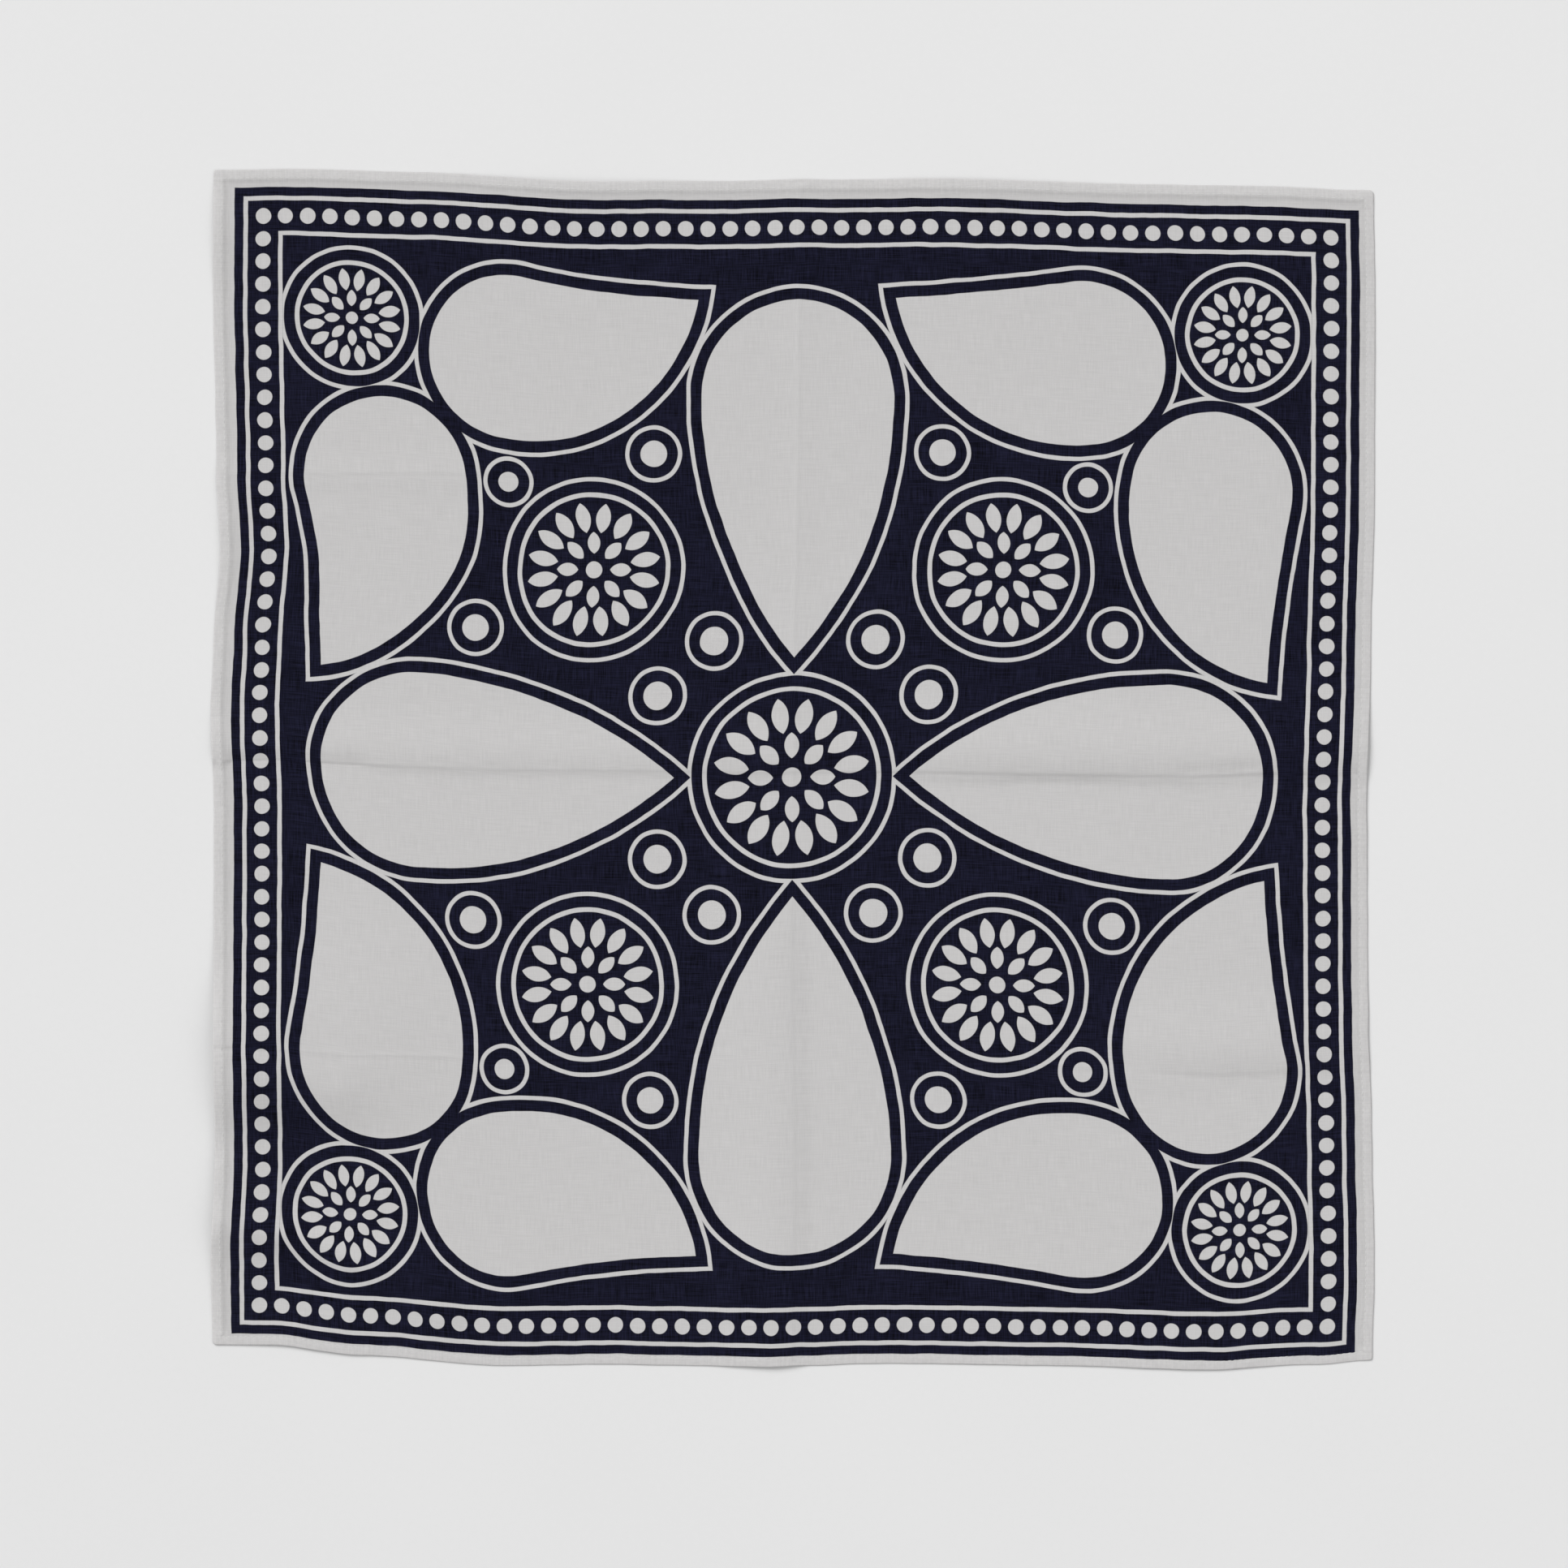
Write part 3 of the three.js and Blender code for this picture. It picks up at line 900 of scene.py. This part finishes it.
# %% Daisies, in millimetres, and their petals, in shares of the radius
DAISIES = [
    {"at": (0, 0, 0), "radius": 40.0},
    {"at": (94, 94, 0), "radius": 34.0},
    {"at": (203, 203, 0), "radius": 25.0},
]
PETAL_RINGS = [
    {"petals": 16, "turn": 11.25, "middle": 0.70, "half_length": 0.20, "half_width": 0.098},
    {"petals": 8, "turn": 0.0, "middle": 0.36, "half_length": 0.145, "half_width": 0.085},
]
DAISY_EYE = 0.11
DAISY_RING_WIDTH = 2.1


def daisy_distance(place, radius):
    x, y = place.parts()
    angle = y.sum("ARCTAN2", x)
    out = place.distance_to((0, 0, 0)) / radius
    parts = [out - DAISY_EYE]
    for ring in PETAL_RINGS:
        share = math.pi / ring["petals"]
        folded = (angle - math.radians(ring["turn"])).sum("PINGPONG", share)
        along = out * folded.sum("COSINE") - ring["middle"]
        aside = out * folded.sum("SINE")
        parts.append(lens_distance(place_from(along, aside), ring["half_length"], ring["half_width"]))
    rim = abs(out - 1.0) * radius - DAISY_RING_WIDTH / 2
    return (least_of(parts) * radius).least(rim)


def nearest_daisy(place):
    """The distances outside the nearest daisy's circle and outside its pale parts."""
    near_gap = near_place = near_radius = None
    for row in DAISIES:
        local = place.moved(tuple(-part for part in row["at"]))
        gap = local.distance_to((0, 0, 0)) - row["radius"]
        if near_gap is None:
            near_gap, near_place, near_radius = gap, local, row["radius"]
        else:
            nearer = gap.under(near_gap)
            near_place = choose(nearer, near_place, local)
            near_radius = choose(nearer, near_radius, row["radius"])
            near_gap = near_gap.least(gap)
    return near_gap, daisy_distance(near_place, near_radius)


# %% [markdown]
# ## The print: its layout
#
# This is the old layout of a printed handkerchief: a daisy in the middle, drops and paisleys set about
# it, buds in the gaps, and a border with a row of dots. The cloth is folded into an eighth by sums, as
# a child folds paper to cut a snowflake, so only an eighth of the motifs has to be placed.
#
# Noise of a quarter of a millimetre moves every edge a little, as a hand-cut screen does, because
# edges that are too true look like plastic.

# %% The layout's sizes, in millimetres
PRINT_SIZE = (513.0, 523.2)
PRINT_MIDDLE = (0.9, -2.1, 0)
PRINT_TURN = -0.12

BUDS = [
    {"at": (146.5, 66, 0), "radius": 6.0},
    {"at": (62, 37, 0), "radius": 6.5},
    {"at": (132.5, 132.5, 0), "radius": 4.5},
]
ECHO = {"out": 6.0, "width": 1.9, "daisy_gap": 1.0}
BORDER_LINES = [5, 21]
BORDER_LINE_WIDTH = 2.0
FIELD_INSET = 22.0
DOTS = {"inset": 13, "radius": 3.5, "to_a_side": 24}
HAND_WOBBLE = {"size": 14.0, "reach": 1.0}
INK_EDGE = 0.25


# %% The print's node group
def field_distance(x, y):
    """How far a place is outside the pale motifs and lines of the middle field."""
    folded = place_from(x.most(y), x.least(y))
    buds = [folded.distance_to(row["at"]) - row["radius"] for row in BUDS]
    shapes = least_of([drop_distance(folded), paisley_distance(folded), *buds])
    from_daisy, daisy = nearest_daisy(folded)
    from_motif = shapes.least(from_daisy - ECHO["daisy_gap"])
    echo = abs(from_motif - ECHO["out"]) - ECHO["width"] / 2
    return least_of([echo, shapes, daisy])


def border_distance(x, y):
    """How far a place is outside the pale border lines and dots, and how far it is in from the edge."""
    from_side = PRINT_SIZE[0] / 2 - x
    from_end = PRINT_SIZE[1] / 2 - y
    inset = from_side.least(from_end)
    lines = [abs(inset - line) - BORDER_LINE_WIDTH / 2 for line in BORDER_LINES]
    at_end = from_end.under(from_side)
    side_step = (PRINT_SIZE[1] / 2 - DOTS["inset"]) / DOTS["to_a_side"]
    end_step = (PRINT_SIZE[0] / 2 - DOTS["inset"]) / DOTS["to_a_side"]
    step = choose(at_end, side_step, end_step)
    along = choose(at_end, y, x)
    past = along / step
    from_dot = (past - past.sum("ROUND").least(float(DOTS["to_a_side"]))) * step
    dot = place_from(from_dot, inset - DOTS["inset"]).distance_to((0, 0, 0)) - DOTS["radius"]
    return least_of([*lines, dot]), inset


def print_group():
    group, (plane,), way_out = new_group("Bandana Print", [("Plane", "VECTOR")], [("Ink", "FLOAT")])
    wobbly = unsteady(plane, HAND_WOBBLE["size"], HAND_WOBBLE["reach"])
    x, y = wobbly.turned(PRINT_MIDDLE, PRINT_TURN).parts()
    x, y = abs(x), abs(y)
    border, inset = border_distance(x, y)
    pale = field_distance(x, y).most(FIELD_INSET - inset).least(border)
    bare_edge = pale.least(inset)
    feed(group, way_out.inputs["Ink"], (bare_edge / INK_EDGE + 0.5).clamped())
    return group


PRINT = print_group()
print("nodes in the print:", len(PRINT.nodes))

# %% [markdown]
# ## The weave
#
# Lawn is a plain weave: each thread goes over one and under one, about three threads to a millimetre.
# At arm's length the crossings can't be told apart. What shows is that no two threads are equally
# thick, as faint streaks both ways. So the weave's group gives a height, with its crossings, for the
# bump, and a tone, with its streaks, for the colour.

# %% The weave's node group
WEAVE_DRIFT = {"size": 22.0, "reach": 1.2, "detail": 1.0}
# How many millimetres a streak runs along its thread, for each millimetre of the noise.
STREAK_LONG = {"warp": 7.0, "weft": 9.0}
STREAK_NOISE = {"Scale": 0.7, "Detail": 2.0, "Roughness": 0.55}
# How far a thread dips beside a crossing, and how far a thick thread stands out, in shares of its height.
THREAD_DIP = 0.4
THREAD_SLUB = 0.5


def weave_group():
    group, (plane, pitch), way_out = new_group(
        "Weave", [("Plane", "VECTOR"), ("Pitch", "FLOAT")], [("Height", "FLOAT"), ("Tone", "FLOAT")]
    )
    x, y = unsteady(plane, **WEAVE_DRIFT).parts()
    warp, weft = x / pitch, y / pitch
    tone = streaks(warp, y / STREAK_LONG["warp"]) + streaks(x / STREAK_LONG["weft"], weft)
    crossing = (warp.sum("FLOOR") + weft.sum("FLOOR")).sum("MODULO", 2.0).sum("ABSOLUTE")
    over = choose(crossing, warp, weft).sum("PINGPONG", 0.5) * 2.0
    under = choose(crossing, weft, warp).sum("PINGPONG", 0.5) * 2.0
    height = over * (under * THREAD_DIP + (1 - THREAD_DIP))
    feed(group, way_out.inputs["Height"], height + tone * THREAD_SLUB)
    feed(group, way_out.inputs["Tone"], tone)
    return group


def streaks(x, y):
    """Noise about 0, drawn out along the threads by whoever has scaled x or y down."""
    node = x.tree.nodes.new("ShaderNodeTexNoise")
    feed(x.tree, node.inputs["Vector"], place_from(x, y))
    for name, value in STREAK_NOISE.items():
        node.inputs[name].default_value = value
    return Number(x.tree, node.outputs["Fac"]) - 0.5


WEAVE = weave_group()
print("nodes in the weave:", len(WEAVE.nodes))

# %% [markdown]
# ## The finishes
#
# The face is pale grey cotton with dark navy ink. Ink lies in the threads and not on them, so it is
# as dull as the cloth, lets the streaks through, and is a little patchy. The hem is three layers
# thick and lets less of the table's shade through, so it is paler. Just inside it, the margin is
# darkened by a patchy painted shade. On the underside the same print shows faintly, because some of
# the ink has gone through.

# %% The cotton's materials
PALE = (0.576, 0.567, 0.565)
NAVY = (0.0075, 0.0077, 0.0190)
THREAD = (0.64, 0.64, 0.63)
THREAD_PITCH = 0.30
PALE_STREAKS = 0.2
NAVY_STREAKS = 2.9
# No thread takes the ink so well that it is darker than this share of the ink's own colour.
NAVY_LEAST = 0.2
MOTTLE_SIZE = 1.8
SHADE_PATCH_SIZE = 45.0
HEM_TONE = {"paler": 0.05, "soft_edge": 1.2, "mottle": 0.16}
# A patchy painted shade darkens the margin just inside the hem, where the single cloth steps down from it.
MARGIN_SHADE = {"depth": 0.095, "fades_in": 6.5, "mottle": 2.2, "patches": 2.0}
INK_PATCHES = {"size": 26.0, "detail": 4.0, "depth": 0.7}
WEAVE_HEIGHT = 0.035
SHOW_THROUGH = 0.34
SPECKS = {"apart": 62.0, "radius": 0.42, "depth": 0.35}
THREAD_FIBRE = {"size": 0.25, "tone": 0.12, "bump": 0.05}
THREAD_WEAR = {"size": 30.0, "tone": 0.1}


def new_material(name, roughness, shine):
    material = bpy.data.materials.new(name)
    material.use_nodes = True
    shader = material.node_tree.nodes["Principled BSDF"]
    shader.inputs["Roughness"].default_value = roughness
    shader.inputs["Specular IOR Level"].default_value = shine
    return material, material.node_tree, shader


def cloth_plane_place(tree):
    """The place in the flat cloth, in millimetres."""
    node = tree.nodes.new("ShaderNodeUVMap")
    node.uv_map = "cloth_plane"
    return Place(tree, node.outputs["UV"]).times((1 / MM, 1 / MM, 0))


def object_place(tree):
    """The place in the piece's own space, in millimetres."""
    node = tree.nodes.new("ShaderNodeTexCoord")
    return Place(tree, node.outputs["Object"]).times((1 / MM, 1 / MM, 1 / MM))


def shaded(colour, amount):
    """A colour made lighter or darker by a number about 1."""
    node = amount.tree.nodes.new("ShaderNodeVectorMath")
    node.operation = "SCALE"
    feed(amount.tree, node.inputs[0], colour)
    feed(amount.tree, node.inputs["Scale"], amount)
    return Place(amount.tree, node.outputs["Vector"])


def mixed(share, first, second):
    node = share.tree.nodes.new("ShaderNodeMix")
    node.data_type = "RGBA"
    feed(share.tree, node.inputs[0], share)
    feed(share.tree, node.inputs[6], first)
    feed(share.tree, node.inputs[7], second)
    return Place(share.tree, node.outputs[2])


def bump(tree, shader, height, depth):
    node = tree.nodes.new("ShaderNodeBump")
    node.inputs["Strength"].default_value = 1.0
    node.inputs["Distance"].default_value = depth * MM
    feed(tree, node.inputs["Height"], height)
    tree.links.new(node.outputs["Normal"], shader.inputs["Normal"])


def hem_paleness_and_painted_shade(plane):
    """How much paler the three layers of the hem are, and the painted shade on the margin just inside it."""
    x, y = plane.parts()
    inset = (WIDTH / 2 - abs(x)).least(HEIGHT / 2 - abs(y)) - HEM["width"]
    in_hem = (0.5 - inset / HEM_TONE["soft_edge"]).clamped()
    near = (1.0 - inset / MARGIN_SHADE["fades_in"]).clamped()
    mottle = cloud(plane, MOTTLE_SIZE)
    patches = cloud(plane, SHADE_PATCH_SIZE)
    uneven = mottle * MARGIN_SHADE["mottle"] + patches * MARGIN_SHADE["patches"] + 1.0
    # The painted shade of the margin: strongest at the hem, and fading inwards.
    shade = near * near * (1.0 - in_hem) * uneven * MARGIN_SHADE["depth"]
    return in_hem * (mottle * HEM_TONE["mottle"] + HEM_TONE["paler"]) - shade


def specks(plane):
    """1 in the few dark specks that any cotton has, 0 elsewhere."""
    node = plane.tree.nodes.new("ShaderNodeTexVoronoi")
    feed(plane.tree, node.inputs["Vector"], plane)
    node.inputs["Scale"].default_value = 1 / SPECKS["apart"]
    from_speck = Number(plane.tree, node.outputs["Distance"]) * SPECKS["apart"]
    return from_speck.under(SPECKS["radius"])


def printed_cotton(name, ink_strength):
    material, tree, shader = new_material(name, roughness=0.92, shine=0.08)
    plane = cloth_plane_place(tree)
    weave = use_group(WEAVE, Plane=plane, Pitch=THREAD_PITCH)
    tone = Number(tree, weave.outputs["Tone"])
    patches = cloud(plane, INK_PATCHES["size"], INK_PATCHES["detail"])
    pale_tone = tone * PALE_STREAKS + hem_paleness_and_painted_shade(plane) + 1.0 - specks(plane) * SPECKS["depth"]
    navy_tone = (tone * NAVY_STREAKS + patches * INK_PATCHES["depth"] + 1.0).most(NAVY_LEAST)
    ink = Number(tree, use_group(PRINT, Plane=plane).outputs["Ink"]) * ink_strength
    colour = mixed(ink, shaded(PALE, pale_tone), shaded(NAVY, navy_tone))
    feed(tree, shader.inputs["Base Color"], colour)
    bump(tree, shader, Number(tree, weave.outputs["Height"]), WEAVE_HEIGHT)
    return material


def thread_finish():
    material, tree, shader = new_material("hem_thread", roughness=0.8, shine=0.15)
    place = object_place(tree)
    fibre = cloud(place, THREAD_FIBRE["size"])
    worn = cloud(place, THREAD_WEAR["size"])
    tone = fibre * THREAD_FIBRE["tone"] + worn * THREAD_WEAR["tone"] + 1.0
    feed(tree, shader.inputs["Base Color"], shaded(THREAD, tone))
    bump(tree, shader, fibre, THREAD_FIBRE["bump"])
    return material


sheet.data.materials.append(printed_cotton("printed_face", 1.0))
sheet.data.materials.append(printed_cotton("printed_underside", SHOW_THROUGH))
stitches.data.materials.append(thread_finish())
print("materials:", [material.name for material in bpy.data.materials])

# %% [markdown]
# ## The table
#
# The table is a plain pale sheet of paper a tenth of a millimetre under the cloth, so that no two
# surfaces lie in the same place. Faint fibres and broad soft patches keep it from being one colour.

# %% The table
TABLE_SIZE = 10.0
TABLE_GAP = 0.1 * MM
TABLE_TONE = (0.785, 0.785, 0.785)
PAPER_FIBRE = {"size": 3.0, "detail": 3.0, "tone": 0.02}
PAPER_PATCHES = {"size": 150.0, "tone": 0.03}
# How much paler the table is for each millimetre farther up.
TABLE_RISE = 0.00004


def paper_finish():
    material, tree, shader = new_material("pale_paper", roughness=0.95, shine=0.1)
    place = object_place(tree)
    fibre = cloud(place, PAPER_FIBRE["size"], PAPER_FIBRE["detail"])
    patches = cloud(place, PAPER_PATCHES["size"])
    farther_up = place.parts()[1] * TABLE_RISE
    tone = fibre * PAPER_FIBRE["tone"] + patches * PAPER_PATCHES["tone"] + farther_up + 1.0
    feed(tree, shader.inputs["Base Color"], shaded(TABLE_TONE, tone))
    return material


def make_table():
    bm = bmesh.new()
    bmesh.ops.create_grid(bm, x_segments=1, y_segments=1, size=TABLE_SIZE / 2)
    bmesh.ops.translate(bm, verts=bm.verts[:], vec=(0, 0, cloth_low.z - TABLE_GAP))
    return bm


table = piece_from(make_table(), "table")
table.data.materials.append(paper_finish())

# %% [markdown]
# ## Joining the frame
#
# The sheet stands for the solid cloth, which is hidden, and the stitches go with it.

for piece in (sheet, stitches):
    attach(piece, "root")
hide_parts("hemmed_cloth")
